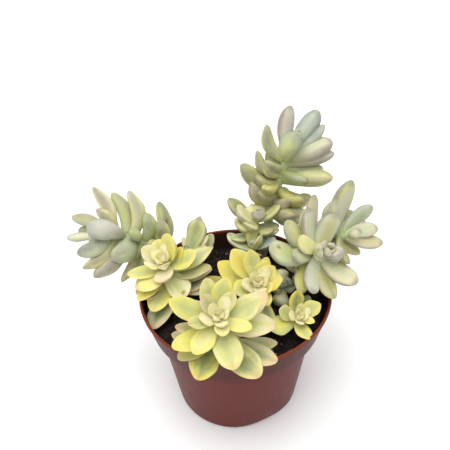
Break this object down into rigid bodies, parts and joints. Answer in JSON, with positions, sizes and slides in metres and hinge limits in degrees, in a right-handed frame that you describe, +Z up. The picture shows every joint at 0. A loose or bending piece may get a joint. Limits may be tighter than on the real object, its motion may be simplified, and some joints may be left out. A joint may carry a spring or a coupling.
{
  "type": "potted rosette succulent",
  "caption": "Variegated clump of rosettes and leafy shoots with plump, powdery cream and green leaves, in soil in a round red-brown plastic nursery pot.",
  "frame": {"origin": "centre of the pot's flat underside, where it stands", "axes": "+Z up, -Y towards the front rosette that leans over the rim, +X to the viewer's right"},
  "size_m": [0.1734, 0.1377, 0.1477],
  "materials": {
    "pot_plastic": "thin red-brown plastic, satin, a little dusty",
    "potting_soil": "dark damp potting mix with fine grit",
    "stem": "pale green, smooth, matte",
    "yellow_leaf": "cream to lemon yellow with a green centre, powdery bloom",
    "grey_green_leaf": "grey green with cream and pinkish edges, powdery bloom"
  },
  "bodies": {
    "root": {"back_left_sprout_leaf_01": "grey_green_leaf", "back_left_sprout_stem": "stem", "back_shoot_stem": "stem", "centre_rosette_leaf_01": "yellow_leaf", "centre_rosette_leaf_02": "yellow_leaf", "centre_rosette_stem": "stem", "far_right_cluster_leaf_02": "grey_green_leaf", "far_right_cluster_leaf_08": "grey_green_leaf", "far_right_cluster_stem": "stem", "front_rosette_leaf_06": "yellow_leaf", "front_rosette_leaf_09": "yellow_leaf", "front_rosette_leaf_10": "yellow_leaf", "front_rosette_leaf_11": "yellow_leaf", "front_rosette_leaf_12": "yellow_leaf", "front_rosette_leaf_13": "yellow_leaf", "front_rosette_leaf_14": "yellow_leaf", "front_rosette_leaf_15": "yellow_leaf", "front_rosette_leaf_16": "yellow_leaf", "front_rosette_leaf_17": "yellow_leaf", "front_rosette_leaf_18": "yellow_leaf", "front_rosette_leaf_20": "yellow_leaf", "front_rosette_stem": "stem", "inner_sprout_stem": "stem", "left_cluster_leaf_01": "grey_green_leaf", "left_cluster_leaf_02": "grey_green_leaf", "left_cluster_leaf_03": "grey_green_leaf", "left_cluster_leaf_04": "grey_green_leaf", "left_cluster_leaf_07": "grey_green_leaf", "left_cluster_leaf_13": "grey_green_leaf", "left_cluster_leaf_15": "grey_green_leaf", "left_cluster_stem": "stem", "left_rosette_leaf_07": "yellow_leaf", "left_rosette_leaf_08": "yellow_leaf", "left_rosette_leaf_09": "yellow_leaf", "left_rosette_leaf_11": "yellow_leaf", "left_rosette_leaf_13": "yellow_leaf", "left_rosette_stem": "stem", "middle_sprout_stem": "stem", "pot": "pot_plastic", "right_cluster_leaf_05": "grey_green_leaf", "right_cluster_leaf_06": "grey_green_leaf", "right_cluster_leaf_07": "grey_green_leaf", "right_cluster_leaf_08": "grey_green_leaf", "right_cluster_leaf_10": "grey_green_leaf", "right_cluster_leaf_11": "grey_green_leaf", "right_cluster_leaf_13": "grey_green_leaf", "right_cluster_stem": "stem", "right_rosette_stem": "stem", "soil": "potting_soil", "tall_shoot_leaf_01": "grey_green_leaf", "tall_shoot_leaf_02": "grey_green_leaf", "tall_shoot_leaf_04": "grey_green_leaf", "tall_shoot_leaf_05": "grey_green_leaf", "tall_shoot_leaf_07": "grey_green_leaf", "tall_shoot_leaf_09": "grey_green_leaf", "tall_shoot_leaf_11": "grey_green_leaf", "tall_shoot_stem": "stem"}
  },
  "joints": []
}
